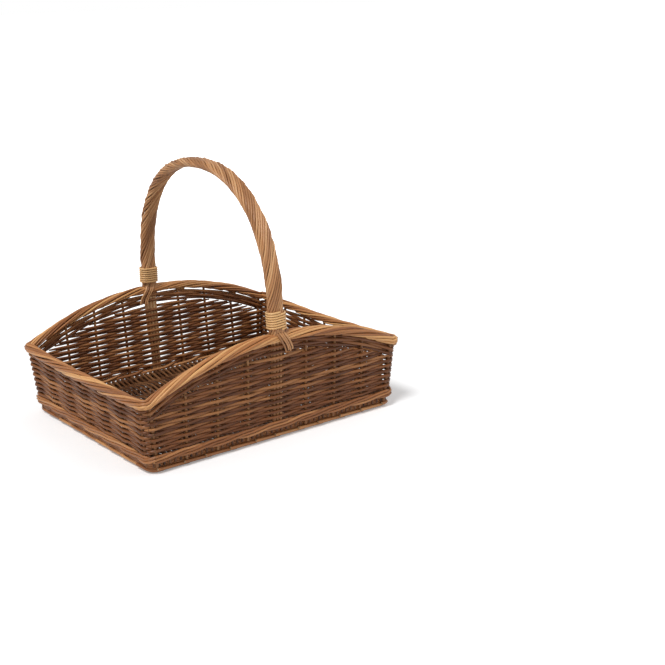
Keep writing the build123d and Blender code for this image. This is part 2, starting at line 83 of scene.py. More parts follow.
@dataclass(frozen=True)
class TrugShape:
    """The sizes that the whole basket follows, in metres.

    Half sizes are measured to the middle of the uprights at ground level, heights to the middle of
    the border.
    """

    half_length: float = 0.235
    half_width: float = 0.1885
    end_lean: float = 0.10
    side_lean: float = 0.065
    corner_height: float = 0.117
    peak_height: float = 0.174
    end_sag: float = 0.006
    rim_corner_radius: float = 0.018
    post_from_corner: float = 0.011
    stake_radius: float = 0.0026
    post_radius: float = 0.003
    core_radius: float = 0.003
    core_pitch: float = 0.00615
    foot_top: float = 0.0103
    base_plane: float = 0.01803
    wale_bottom: float = 0.0182
    siding_bottom: float = 0.0326
    border_reach: float = 0.0080

    def length_at(self, z: float) -> float:
        """Half the length between the end walls' uprights at height z."""
        return self.half_length + self.end_lean * z

    def width_at(self, z: float) -> float:
        """Half the width between the side walls' uprights at height z."""
        return self.half_width + self.side_lean * z

    @property
    def rim_half_chord(self) -> float:
        """Half the chord of the arc that the long sides' border follows."""
        return self.length_at(self.corner_height) - self.rim_corner_radius / 2

    @property
    def rim_radius(self) -> float:
        """Radius of the arc that the long sides' border follows."""
        rise = self.peak_height - self.corner_height
        return (self.rim_half_chord**2 + rise**2) / (2 * rise)

    def rim_at(self, wall: Wall, u: float) -> float:
        """Height of the border's centre line on a wall.

        Args:
            wall: The wall.
            u: Distance along it from its middle.

        Returns:
            The height in metres.
        """
        if wall in LONG_WALLS:
            u = min(abs(u), self.rim_half_chord)
            return self.peak_height - self.rim_radius + math.sqrt(self.rim_radius**2 - u**2)
        across = min(abs(u) / self.width_at(self.corner_height), 1)
        return self.corner_height - self.end_sag * (1 - across**2)

    def half_extent(self, wall: Wall, z: float) -> float:
        """Half the run of a wall from corner to corner at height z."""
        return self.length_at(z) if wall in LONG_WALLS else self.width_at(z)

    def place(self, wall: Wall, u: float, z: float) -> tuple[float, float]:
        """Where a wall's uprights stand, in plan.

        Args:
            wall: The wall.
            u: Distance along it, in the weaver's direction.
            z: Height.

        Returns:
            x and y.
        """
        return {
            Wall.FRONT: (u, -self.width_at(z)),
            Wall.RIGHT_END: (self.length_at(z), u),
            Wall.BACK: (-u, self.width_at(z)),
            Wall.LEFT_END: (-self.length_at(z), -u),
        }[wall]

    def uprights(self, wall: Wall) -> list[tuple[float, float, float]]:
        """Uprights of a wall but for its posts.

        Args:
            wall: The wall.

        Returns:
            For each its place along the wall, half the width of a group of rods, else 0, and half
            its thickness.
        """
        mid = self.corner_height / 2
        bays = 4 if wall in LONG_WALLS else 3
        pitch = (self.half_extent(wall, mid) - self.post_from_corner) / bays
        found = []
        for i in range(1 - bays, bays):
            if wall in LONG_WALLS and i == 0:
                found.append((0.0, self.core_pitch + self.core_radius, self.core_radius))
            else:
                found.append((i * pitch, 0.0, self.stake_radius))
        return found


class NodeSheet:
    """The nodes of a material or of the world, with short ways to add more and to join them."""

    def __init__(self, owner: bpy.types.Material | bpy.types.World) -> None:
        """Opens the owner's nodes."""
        owner.use_nodes = True
        self.nodes = owner.node_tree.nodes
        self.links = owner.node_tree.links

    def feed(self, node: bpy.types.Node, inputs: dict[str | int, object]) -> None:
        """Sets a node's inputs or joins them to other nodes.

        Args:
            node: The node.
            inputs: For each input its value, or the output that feeds it.
        """
        for key, value in inputs.items():
            if isinstance(value, bpy.types.NodeSocket):
                self.links.new(value, node.inputs[key])
            else:
                node.inputs[key].default_value = value

    def add(self, kind: str, inputs: dict[str | int, object], **settings: str) -> bpy.types.Node:
        """Adds a node.

        Args:
            kind: The node's type, without the prefix that all types have.
            inputs: For each input its value, or the output that feeds it.
            **settings: Its other settings.

        Returns:
            The node.
        """
        node = self.nodes.new(f"ShaderNode{kind}")
        for name, value in settings.items():
            setattr(node, name, value)
        self.feed(node, inputs)
        return node

    def maths(self, operation: str, *values: bpy.types.NodeSocket | float) -> bpy.types.NodeSocket:
        """The result of a maths node whose inputs are sockets or numbers."""
        return self.add("Math", dict(enumerate(values)), operation=operation).outputs[0]

    def ramp(self, share: bpy.types.NodeSocket, *stops: tuple[float, Colour]) -> bpy.types.NodeSocket:
        """Colours blended along a share.

        Args:
            share: The output that gives the share.
            *stops: Places and colours from first to last.

        Returns:
            The blended colour's output.
        """
        node = self.add("ValToRGB", {"Fac": share})
        elements = node.color_ramp.elements
        for element, (place, colour) in zip(elements, (stops[0], stops[-1])):
            element.position = place
            element.color = (*colour, 1)
        for place, colour in stops[1:-1]:
            elements.new(place).color = (*colour, 1)
        return node.outputs["Color"]


@dataclass(frozen=True)
class WillowFinish:
    """Steamed willow: rods of slightly different browns, streaked along their length, with a dull gloss.

    Colours are linear red, green and blue. The slot is a material slot's name that is passed along with
    the pieces but not used.
    """

    name: str
    slot: str
    dark: Colour
    middle: Colour
    light: Colour
    roughness: float = 0.40
    roughness_range: float = 0.25
    coat: float = 0.10
    coat_roughness: float = 0.3
    gloss: float = 0.42
    streak_scale: tuple[float, float, float] = (90.0, 5.0, 1.0)
    streak_detail: float = 3.0
    streak_strength: float = 0.35
    blotch_scale: tuple[float, float, float] = (14.0, 0.6, 1.0)
    blotch_detail: float = 2.0
    blotch_strength: float = 0.45
    bump_depth: float = 0.00012
    bump_strength: float = 0.8

    def material(self) -> bpy.types.Material:
        """The finish as a material that reads each rod's tone and its own lengthwise coordinates.

        Returns:
            The material.
        """
        made = bpy.data.materials.new(self.name)
        sheet = NodeSheet(made)
        tone = sheet.add("Attribute", {}, attribute_name=TONE).outputs["Fac"]
        streaks = self._noise(sheet, self.streak_scale, self.streak_detail)
        blotches = self._noise(sheet, self.blotch_scale, self.blotch_detail)
        share = sheet.maths("MULTIPLY_ADD", streaks, self.streak_strength, tone)
        share = sheet.maths("MULTIPLY_ADD", blotches, self.blotch_strength, share)
        share = sheet.maths("SUBTRACT", share, (self.streak_strength + self.blotch_strength) / 2)
        smoothest = self.roughness - self.roughness_range / 2
        bump = sheet.add("Bump", {"Distance": self.bump_depth, "Strength": self.bump_strength,
                                  "Height": streaks})
        sheet.feed(sheet.nodes["Principled BSDF"], {
            "Base Color": sheet.ramp(share, (0.0, self.dark), (0.5, self.middle), (1.0, self.light)),
            "Roughness": sheet.maths("MULTIPLY_ADD", blotches, self.roughness_range, smoothest),
            "Specular IOR Level": self.gloss,
            "Coat Weight": self.coat,
            "Coat Roughness": self.coat_roughness,
            "Normal": bump.outputs["Normal"],
        })
        return made

    @staticmethod
    def _noise(sheet: NodeSheet, scale: tuple[float, float, float], detail: float) -> bpy.types.NodeSocket:
        """Noise stretched along the rod.

        Args:
            sheet: The material's nodes.
            scale: Repeats along, round and across.
            detail: Noise detail.

        Returns:
            The noise's output.
        """
        grain = sheet.add("UVMap", {}, uv_map=GRAIN_UV).outputs["UV"]
        stretched = sheet.add("Mapping", {"Vector": grain, "Scale": scale}).outputs["Vector"]
        noise = sheet.add("TexNoise", {"Vector": stretched, "Scale": 1.0, "Detail": detail})
        return noise.outputs["Fac"]


@dataclass(frozen=True)
class CutEndFinish:
    """The pale pith and wood of a rod's cut end."""

    name: str = "cut_willow_end"
    wood: Colour = (0.50, 0.34, 0.19)
    pith: Colour = (0.25, 0.14, 0.07)
    pith_until: float = 0.35
    wood_from: float = 0.6
    pore_scale: float = 900.0
    roughness: float = 0.75

    def material(self) -> bpy.types.Material:
        """The finish as a material with fine pores.

        Returns:
            The material.
        """
        made = bpy.data.materials.new(self.name)
        sheet = NodeSheet(made)
        place = sheet.add("TexCoord", {}).outputs["Object"]
        pores = sheet.add("TexNoise", {"Vector": place, "Scale": self.pore_scale}).outputs["Fac"]
        sheet.feed(sheet.nodes["Principled BSDF"], {
            "Base Color": sheet.ramp(pores, (self.pith_until, self.pith), (self.wood_from, self.wood)),
            "Roughness": self.roughness,
        })
        return made


SIDING = WillowFinish("siding_willow", "siding_rod", (0.055, 0.015, 0.0045), (0.202, 0.070, 0.021),
                      (0.45, 0.20, 0.072), gloss=0.30)
STAKE = WillowFinish("stake_willow", "stake_rod", (0.12, 0.045, 0.015), (0.28, 0.12, 0.044),
                     (0.48, 0.25, 0.10), gloss=0.30)
# The base's browns are darker than the walls' willow; part of that darkness is painted shade for the floor
# inside the basket
BASE_WITH_PAINTED_SHADE = WillowFinish("base_willow_painted_shade", "base_rod", (0.05, 0.019, 0.007), (0.14, 0.056, 0.022),
                    (0.28, 0.135, 0.058), gloss=0.30)
WALE = WillowFinish("wale_willow", "wale_rod", (0.14, 0.043, 0.013), (0.36, 0.142, 0.048),
                    (0.60, 0.30, 0.12), gloss=0.34)
BORDER = WillowFinish("border_willow", "border_rod", (0.18, 0.056, 0.015), (0.47, 0.192, 0.062),
                      (0.76, 0.42, 0.165))
HANDLE = WillowFinish("handle_willow", "border_rod", (0.19, 0.068, 0.023), (0.51, 0.245, 0.100),
                      (0.80, 0.50, 0.25))
BINDING = WillowFinish("binding_cane", "binding_cane", (0.48, 0.23, 0.085), (0.72, 0.42, 0.175),
                       (0.86, 0.62, 0.33), roughness=0.38)
CUT_END = CutEndFinish()


@cache
def dressed(finish: WillowFinish | CutEndFinish) -> bpy.types.Material:
    """The finish's material, made the first time it is asked for."""
    return finish.material()


def eased(share: np.ndarray | float) -> np.ndarray | float:
    """The share made to start and stop gently."""
    return share * share * (3 - 2 * share)


def tapered(count: int, butt: float, tip: float, rounded: int = 0) -> np.ndarray:
    """Radii that fall evenly from butt to tip.

    Args:
        count: How many.
        butt: First radius.
        tip: Last radius.
        rounded: How many rings at each end are drawn in a little.

    Returns:
        The radii.
    """
    radii = np.linspace(butt, tip, count)
    for i in range(rounded):
        share = DRAWN_END + (1 - DRAWN_END) * i / rounded
        radii[i] *= share
        radii[-1 - i] *= share
    return radii


def unit(vectors: np.ndarray) -> np.ndarray:
    """The vectors at a length of 1."""
    return vectors / np.linalg.norm(vectors, axis=1)[:, None]


def lengths_along(points: np.ndarray) -> np.ndarray:
    """How far along a line each of its points is."""
    return np.r_[0, np.cumsum(np.linalg.norm(np.diff(points, axis=0), axis=1))]


def read_at(wanted: np.ndarray, lengths: np.ndarray, vectors: np.ndarray) -> np.ndarray:
    """Places or directions at wanted lengths, between those that are given at some lengths."""
    return np.stack([np.interp(wanted, lengths, vectors[:, i]) for i in range(3)], axis=1)


def resampled(points: np.ndarray, step: float) -> np.ndarray:
    """A line's points again, evenly spaced.

    Args:
        points: The line.
        step: About how far apart they are.

    Returns:
        The new points.
    """
    lengths = lengths_along(points)
    count = max(int(lengths[-1] / step), 2)
    return read_at(np.linspace(0, lengths[-1], count + 1), lengths, points)


def new_object(name: str, data: bpy.types.ID) -> bpy.types.Object:
    """Puts a new object into the scene.

    Args:
        name: The object's name.
        data: Its mesh, lamp or camera.

    Returns:
        The object.
    """
    thing = bpy.data.objects.new(name, data)
    bpy.context.collection.objects.link(thing)
    return thing


def add_piece(name: str, mesh: bpy.types.Mesh, replaced: list[str], slot: str) -> None:
    """Puts a mesh into the scene as a piece of the trug.

    Args:
        name: The piece's name.
        mesh: Its mesh.
        replaced: Nodes that it stands for.
        slot: Not used.
    """
    thing = new_object(name, mesh)
    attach(thing, BODY)
    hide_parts(*replaced)


@dataclass
class Rod:
    """One willow rod: its centre line, its thickness along it, and how light it is or each point is."""

    points: np.ndarray
    radii: np.ndarray
    tone: float | np.ndarray


class RodBundle:
    """Several rods made into one mesh object."""

    def __init__(self, name: str, finish: WillowFinish, node: str, sides: int = 8) -> None:
        """Starts an empty bundle.

        Args:
            name: The object's name.
            finish: The rods' finish.
            node: The node that the object stands for.
            sides: Sides of each rod.
        """
        self.name = name
        self.finish = finish
        self.node = node
        self.sides = sides
        self.rods: list[Rod] = []

    @classmethod
    def on_each_wall(cls, name: str, finish: WillowFinish, node: str) -> dict[Wall, "RodBundle"]:
        """An empty bundle for each wall."""
        return {wall: cls(f"{name}_{wall.label}", finish, f"{node}_{wall.label}") for wall in Wall}

    def add(self, points: np.ndarray, radii: np.ndarray, tone: float | np.ndarray) -> None:
        """Adds one rod."""
        self.rods.append(Rod(np.asarray(points, float), np.asarray(radii, float), tone))

    def build(self) -> None:
        """Makes the rods, each a grid rolled into a tube along its line and closed at its ends."""
        shape = bmesh.new()
        shape.loops.layers.uv.new(GRAIN_UV)
        for rod in self.rods:
            bmesh.ops.create_grid(shape, x_segments=len(rod.points) - 1, y_segments=self.sides,
                                  size=0.5, calc_uvs=False)
        mesh = bpy.data.meshes.new(self.name)
        shape.to_mesh(mesh)
        shape.free()
        flat = np.empty(len(mesh.vertices) * 3)
        mesh.vertices.foreach_get("co", flat)
        flat = flat.reshape(-1, 3)
        rolled = np.empty_like(flat)
        tones, along, round_share = np.empty((3, len(flat)))
        start = 0
        for number, rod in enumerate(self.rods):
            rings = len(rod.points)
            part = slice(start, start + rings * (self.sides + 1))
            ring = np.rint((flat[part, 0] + 0.5) * (rings - 1)).astype(int)
            share = flat[part, 1] + 0.5
            rolled[part] = self._roll(rod, ring, share)
            tones[part] = np.broadcast_to(rod.tone, rings)[ring]
            along[part] = lengths_along(rod.points)[ring] + number * GRAIN_SHIFT[0]
            round_share[part] = share + number * GRAIN_SHIFT[1]
            start = part.stop
        mesh.vertices.foreach_set("co", rolled.ravel())
        mesh.attributes.new(TONE, "FLOAT", "POINT").data.foreach_set("value", tones)
        corners = np.empty(len(mesh.loops), dtype=int)
        mesh.loops.foreach_get("vertex_index", corners)
        grain = np.stack((along[corners], round_share[corners]), axis=1)
        mesh.uv_layers[GRAIN_UV].data.foreach_set("uv", grain.ravel())
        self._close(mesh)
        mesh.materials.append(dressed(self.finish))
        mesh.materials.append(dressed(CUT_END))
        add_piece(self.name, mesh, [self.node], self.finish.slot)
        LOG.info("%s: %d rods, %d faces", self.name, len(self.rods), len(mesh.polygons))

    @staticmethod
    def _roll(rod: Rod, ring: np.ndarray, share: np.ndarray) -> np.ndarray:
        """Places of the grid's corners when it is rolled round the rod's line.

        Args:
            rod: The rod.
            ring: For each corner, the ring that it is on.
            share: For each corner, how far round it is.

        Returns:
            The places.
        """
        ahead = unit(np.gradient(rod.points, axis=0))
        side = np.empty_like(ahead)
        first = np.cross(ahead[0], (0.0, 0.0, 1.0))
        if np.linalg.norm(first) < UPRIGHT_SINE:
            first = np.cross(ahead[0], (1.0, 0.0, 0.0))
        side[0] = first / np.linalg.norm(first)
        for i in range(1, len(ahead)):
            turned = side[i - 1] - ahead[i] * np.dot(side[i - 1], ahead[i])
            side[i] = turned / np.linalg.norm(turned)
        up = np.cross(side, ahead)
        angle = share * 2 * math.pi
        radius = rod.radii[ring][:, None]
        return (rod.points[ring] + side[ring] * np.cos(angle)[:, None] * radius
                + up[ring] * np.sin(angle)[:, None] * radius)

    @staticmethod
    def _close(mesh: bpy.types.Mesh) -> None:
        """Joins each tube along its seam, caps its ends and turns its faces outwards.

        Args:
            mesh: The tubes.
        """
        shape = bmesh.new()
        shape.from_mesh(mesh)
        bmesh.ops.remove_doubles(shape, verts=shape.verts, dist=SEAM)
        rims = [edge for edge in shape.edges if edge.is_boundary]
        caps = bmesh.ops.holes_fill(shape, edges=rims, sides=0)["faces"]
        for face in shape.faces:
            face.smooth = True
        for cap in caps:
            cap.smooth = False
            cap.material_index = 1
        for edge in rims:
            edge.smooth = False
        bmesh.ops.recalc_face_normals(shape, faces=shape.faces)
        shape.to_mesh(mesh)
        shape.free()


@dataclass
class Round:
    """A line once round the basket, at a height that may change on the way."""

    shape: TrugShape
    height: Callable[[Wall, float], float]
    corner_radius: float = 0.007
    step: float = 0.002
    points: np.ndarray = field(init=False)
    outward: np.ndarray = field(init=False)
    lengths: np.ndarray = field(init=False)
    walls: np.ndarray = field(init=False)
    along: np.ndarray = field(init=False)

    def __post_init__(self) -> None:
        """Works out the line's points."""
        points, outward, walls, along = [], [], [], []
        for wall in Wall:
            turn = wall.value * math.pi / 2
            corner_z = self.height(wall, self.shape.half_extent(wall, self.shape.corner_height))
            straight = self.shape.half_extent(wall, corner_z) - self.corner_radius
            facing = (math.sin(turn), -math.cos(turn))
            for u in np.linspace(-straight, straight, max(int(2 * straight / self.step), 2)):
                z = self.height(wall, u)
                points.append((*self.shape.place(wall, u, z), z))
                outward.append((*facing, 0.0))
                walls.append(wall.value)
                along.append(u)
            bends = max(int(self.corner_radius * math.pi / 2 / self.step), 2)
            corner = Vector(self.shape.place(wall, straight, corner_z))
            centre = corner - Vector(facing) * self.corner_radius
            for i in range(1, bends):
                angle = turn + math.pi / 2 * i / bends
                out = Vector((math.sin(angle), -math.cos(angle)))
                points.append((*(centre + out * self.corner_radius), corner_z))
                outward.append((*out, 0.0))
                walls.append(wall.value)
                along.append(straight + self.corner_radius * i / bends)
        self.points = np.array(points + points[:1])
        self.outward = np.array(outward + outward[:1])
        self.walls = np.array(walls)
        self.along = np.array(along)
        self.lengths = lengths_along(self.points)

    @property
    def total(self) -> float:
        """Length once round."""
        return self.lengths[-1]

    def length_at(self, wall: Wall, u: float) -> float:
        """How far round the line a place on a wall is."""
        chosen = np.flatnonzero(self.walls == wall.value)
        return float(np.interp(u, self.along[chosen], self.lengths[chosen]))

    def at(self, s: np.ndarray) -> tuple[np.ndarray, np.ndarray]:
        """Places and outward directions at distances round the line, which may pass its start."""
        s = np.mod(s, self.total)
        return read_at(s, self.lengths, self.points), unit(read_at(s, self.lengths, self.outward))

    def wall_at(self, s: float) -> Wall:
        """The wall that a distance round the line falls on."""
        i = int(np.searchsorted(self.lengths, s % self.total))
        return Wall(int(self.walls[min(i, len(self.walls) - 1)]))

    def stops(self) -> list[tuple[int, float, float]]:
        """The uprights in order, with two stops where the handle's core has two edges.

        Returns:
            For each stop the upright's number, its distance round and its half thickness.
        """
        found = []
        number = 0
        for wall in Wall:
            z = self.height(wall, self.shape.half_extent(wall, self.shape.corner_height))
            post = self.shape.half_extent(wall, z) - self.shape.post_from_corner
            posts = [(u, 0.0, self.shape.post_radius) for u in (-post, post)]
            for u, half, thick in (posts[0], *self.shape.uprights(wall), posts[1]):
                number += 1
                for edge in ((-half, half) if half else (0.0,)):
                    found.append((number, self.length_at(wall, u + edge), thick))
        return found

    def between(self, s: np.ndarray, values: list[float],
                swing: Callable[[np.ndarray], np.ndarray]) -> np.ndarray:
        """Values that change from each stop to the next.

        Args:
            s: Distances round the line.
            values: The value at each stop.
            swing: How a share of the way becomes a share of the change.

        Returns:
            The values at those distances.
        """
        places = np.array([place for _, place, _ in self.stops()])
        places = np.concatenate((places - self.total, places, places + self.total))
        held = np.tile(values, 3)
        after = np.clip(np.searchsorted(places, s), 1, len(places) - 1)
        share = (s - places[after - 1]) / (places[after] - places[after - 1])
        return held[after - 1] + (held[after] - held[after - 1]) * swing(share)

    def cut(self, s: np.ndarray) -> Iterator[tuple[Wall, slice]]:
        """The parts of a run that each lie on one wall.

        Args:
            s: The run's distances round the line.

        Yields:
            The wall and the part of the run.
        """
        corners = [self.length_at(wall, self.shape.half_extent(wall, self.points[0, 2])) for wall in Wall]
        cuts = sorted(c + turn * self.total for c in corners for turn in (0, 1)
                      if s[0] < c + turn * self.total < s[-1])
        bounds = [0, *(int(np.searchsorted(s, c)) for c in cuts), len(s) - 1]
        for first, last in zip(bounds, bounds[1:]):
            if last - first >= 2:
                yield self.wall_at(s[(first + last) // 2]), slice(first, last + 1)


@dataclass
class Siding:
    """The walls' siding: single rods, woven in front of one upright and behind the next.

    The rods are pressed a little into the uprights and into each other, as soaked willow is.
    """

    shape: TrugShape
    rows: int = 17
    rows_along_rim: int = 4
    radius: float = 0.00272
    tip_radius: float = 0.00252
    pressed_in: float = 0.0013
    squeezed: float = 0.013
    squeezed_radius: float = 0.0013
    bulge: float = 1.35
    rod_length: float = 1.05
    step: float = 0.005
    corner_gap: float = 0.012
    shortest: float = 0.05
    row_wander: float = 0.0005
    short_row_wander: float = 0.0003
    points_per_drift: int = 9
    fewest_drifts: int = 3
    butt_thickness: Range = (0.92, 1.1)
    tip_thickness: Range = (0.92, 1.12)
    squeezed_reach: Range = (0.5, 1.1)
    squeezed_lengths: float = 2.5
    squeezed_power: float = 0.7
    tones: Range = (0.18, 0.82)
    packing_tones: Range = (0.15, 0.8)
    seed: int = 11

    def __post_init__(self) -> None:
        """Works out the rows' pitch at the corners."""
        self.random = random.Random(self.seed)
        self.corner_top = self.shape.corner_height - self.shape.border_reach
        self.pitch = (self.corner_top - self.shape.siding_bottom) / self.rows

    def row_height(self, row: int) -> Callable[[Wall, float], float]:
        """The height of a row that runs all round.

        Args:
            row: The row's number from the bottom.

        Returns:
            The height as a function of the wall and the place along it.
        """
        share = (row + 0.5) / self.rows
        level = self.shape.siding_bottom + share * (self.corner_top - self.shape.siding_bottom)
        under_rim = (self.rows - row - 0.5) * self.pitch + self.shape.border_reach

        def height(wall: Wall, u: float) -> float:
            """The row's height at a place on a wall.

            Args:
                wall: The wall.
                u: The place along it.

            Returns:
                The height.
            """
            if wall not in LONG_WALLS:
                return level - share * (self.shape.corner_height - self.shape.rim_at(wall, u))
            if row < self.rows - self.rows_along_rim:
                return level
            return self.shape.rim_at(wall, u) - under_rim

        return height

    def swing(self, share: np.ndarray) -> np.ndarray:
        """The share of the change from one upright to the next, quicker near the uprights."""
        from_middle = 2 * share - 1
        return (1 + np.sign(from_middle) * np.abs(from_middle) ** self.bulge) / 2

    def woven(self, line: Round, phase: int, start: float, end: float) -> tuple[np.ndarray, np.ndarray]:
        """Points of a rod woven between the uprights.

        Args:
            line: The line that the row follows.
            phase: Which uprights it passes outside.
            start: Where it starts, as distance round the line.
            end: Where it ends.

        Returns:
            The points, and for each its distance round the line.
        """
        offsets = [(-1 if (phase + number) % 2 else 1) * (thick + self.radius - self.pressed_in)
                   for number, _, thick in line.stops()]
        s = np.linspace(start, end, max(int((end - start) / self.step), 3) + 1)
        place, out = line.at(s)
        return place + out * line.between(s, offsets, self.swing)[:, None], s

    def wander(self, count: int, amount: float) -> np.ndarray:
        """A slow random drift along a rod.

        Args:
            count: How many points the rod has.
            amount: The most that it drifts.

        Returns:
            The drift at each point.
        """
        knots = max(count // self.points_per_drift, self.fewest_drifts)
        values = [self.random.uniform(-amount, amount) for _ in range(knots + 1)]
        return np.interp(np.linspace(0, knots, count), range(knots + 1), values)

    def build(self) -> None:
        """Weaves every row and the packing under the peaks."""
        bundles = RodBundle.on_each_wall("siding_rods", SIDING, "siding")
        for row in range(self.rows):
            self._row_all_round(row, bundles)
        for wall in LONG_WALLS:
            self._packing(wall, bundles[wall])
        for bundle in bundles.values():
            bundle.build()

    def _row_all_round(self, row: int, bundles: dict[Wall, RodBundle]) -> None:
        """Weaves one row of rods laid end to end round the basket, cut between the walls' objects.

        Args:
            row: The row's number from the bottom.
            bundles: The walls' rods.
        """
        line = Round(self.shape, self.row_height(row))
        start = self.random.uniform(0, line.total)
        rods = max(round(line.total / self.rod_length), 1)
        for i in range(rods):
            low = start + line.total * i / rods
            tone = self.random.uniform(*self.tones)
            butt = self.radius * self.random.uniform(*self.butt_thickness)
            tip = self.tip_radius * self.random.uniform(*self.tip_thickness)
            points, s = self.woven(line, row, low, low + line.total / rods)
            points[:, 2] += self.wander(len(points), self.row_wander)
            radii = tapered(len(points), butt, tip)
            for wall, part in line.cut(s):
                bundles[wall].add(points[part], radii[part], tone)

    def _packing(self, wall: Wall, bundle: RodBundle) -> None:
        """Weaves the short rows between the level rows and those along the rim.

        Args:
            wall: A long wall.
            bundle: Its rods.
        """
        low = self.shape.siding_bottom + (self.rows - self.rows_along_rim) * self.pitch
        below_rim = self.shape.border_reach + self.rows_along_rim * self.pitch
        count = int((self.shape.peak_height - below_rim - low) / self.pitch)
        pitch = (self.shape.peak_height - below_rim - low) / count
        arc = self.shape.rim_radius - below_rim - self.radius
        for j in range(count):
            z = low + (j + 0.5) * pitch
            above = z - self.shape.peak_height + self.shape.rim_radius
            if above >= arc:
                continue
            squeezed = self.squeezed * self.random.uniform(*self.squeezed_reach)
            reach = math.sqrt(arc**2 - above**2) + squeezed
            reach = min(reach, self.shape.length_at(z) - self.corner_gap)
            if reach < self.shortest / 2:
                continue
            line = Round(self.shape, lambda _wall, _u, z=z: z)
            start, end = line.length_at(wall, -reach), line.length_at(wall, reach)
            points, s = self.woven(line, self.rows - self.rows_along_rim + j, start, end)
            points[:, 2] += self.wander(len(points), self.short_row_wander)
            from_end = np.minimum(s - start, end - s)
            full = np.clip(from_end / (self.squeezed_lengths * self.squeezed), 0, 1)
            full = full**self.squeezed_power
            radii = self.squeezed_radius + (self.radius - self.squeezed_radius) * full
            under_arc = [self.shape.rim_at(wall, x) - below_rim for x in points[:, 0]]
            points[:, 2] = np.minimum(points[:, 2], np.array(under_arc) - radii)
            bundle.add(points, radii, self.random.uniform(*self.packing_tones))


@dataclass
class Uprights:
    """The stakes of each wall and the two posts beside each corner."""

    shape: TrugShape
    foot_gap: float = 0.0003
    stake_tip_radius: float = 0.0023
    stake_below_rim: float = 0.0035
    post_below_rim: float = 0.004
    out_of_true: float = 0.0012
    stake_points: int = 18
    post_points: int = 14
    stake_tones: Range = (0.3, 0.75)
    post_tones: Range = (0.4, 0.7)
    seed: int = 5

    def build(self) -> None:
        """Makes the stakes of each wall and the posts of each corner."""
        rng = random.Random(self.seed)
        bottom = self.shape.foot_top + self.foot_gap
        for wall in Wall:
            bundle = RodBundle(f"stake_rods_{wall.label}", STAKE, f"stakes_{wall.label}")
            for u, half, thick in self.shape.uprights(wall):
                if not half:
                    top = self.shape.rim_at(wall, abs(u) + thick) - self.stake_below_rim
                    heights = np.linspace(bottom, top, self.stake_points)
                    self._stand(bundle, wall, u, heights, rng)
            bundle.build()
        top = self.shape.corner_height - self.post_below_rim
        heights = np.linspace(bottom, top, self.post_points)
        radii = np.full(self.post_points, self.shape.post_radius)
        for x_name, x_side in (("left", -1), ("right", 1)):
            for y_name, y_side in (("front", -1), ("back", 1)):
                corner = f"{y_name}_{x_name}"
                bundle = RodBundle(f"post_rods_{corner}", STAKE, f"corner_posts_{corner}")
                for dx, dy in ((self.shape.post_from_corner, 0), (0, self.shape.post_from_corner)):
                    points = [(x_side * (self.shape.length_at(z) - dx),
                               y_side * (self.shape.width_at(z) - dy), z) for z in heights]
                    bundle.add(points, radii, rng.uniform(*self.post_tones))
                bundle.build()

    def _stand(self, bundle: RodBundle, wall: Wall, u: float, heights: np.ndarray,
               rng: random.Random) -> None:
        """Stands one stake in a wall, a little out of true.

        Args:
            bundle: The wall's stakes.
            wall: The wall.
            u: The stake's place along it.
            heights: The heights of its points.
            rng: Where its chances come from.
        """
        drift = rng.uniform(-self.out_of_true, self.out_of_true)
        points = []
        for i, z in enumerate(heights):
            sway = drift * math.sin(math.pi * i / (len(heights) - 1))
            points.append((*self.shape.place(wall, u + sway, z), z))
        radii = tapered(len(points), self.shape.stake_radius, self.stake_tip_radius)
        bundle.add(points, radii, rng.uniform(*self.stake_tones))


@dataclass
class Wale:
    """The bottom wale: four rods, each in front of three uprights and behind one."""

    shape: TrugShape
    radius: float = 0.00235
    rods: int = 4
    step: float = 0.005
    thickness: Range = (0.94, 1.04)
    tones: Range = (0.25, 0.85)
    seed: int = 21

    def build(self) -> None:
        """Winds the four rods round the foot of the walls."""
        rng = random.Random(self.seed)
        bundles = RodBundle.on_each_wall("wale_rods", WALE, "bottom_wale")
        middle = self.shape.wale_bottom + 3 * self.radius
        line = Round(self.shape, lambda _wall, _u: middle)
        s = np.linspace(0, line.total, int(line.total / self.step) + 1)
        place, out = line.at(s)
        for k in range(self.rods):
            offsets, lifts = [], []
            for number, _, thick in line.stops():
                turn = (k + number) % self.rods
                outside = turn < self.rods - 1
                offsets.append((thick + self.radius) * (1 if outside else -1))
                lifts.append((turn - 1) * 2 * self.radius if outside else 0.0)
            points = place + out * line.between(s, offsets, self.swing)[:, None]
            points[:, 2] += line.between(s, lifts, self.swing)
            for wall, part in line.cut(s):
                radius = self.radius * rng.uniform(*self.thickness)
                radii = np.full(part.stop - part.start, radius)
                bundles[wall].add(points[part], radii, rng.uniform(*self.tones))
        for bundle in bundles.values():
            bundle.build()

    @staticmethod
    def swing(share: np.ndarray) -> np.ndarray:
        """The share of the change from one upright to the next, gentle at both."""
        return (1 - np.cos(np.pi * share)) / 2


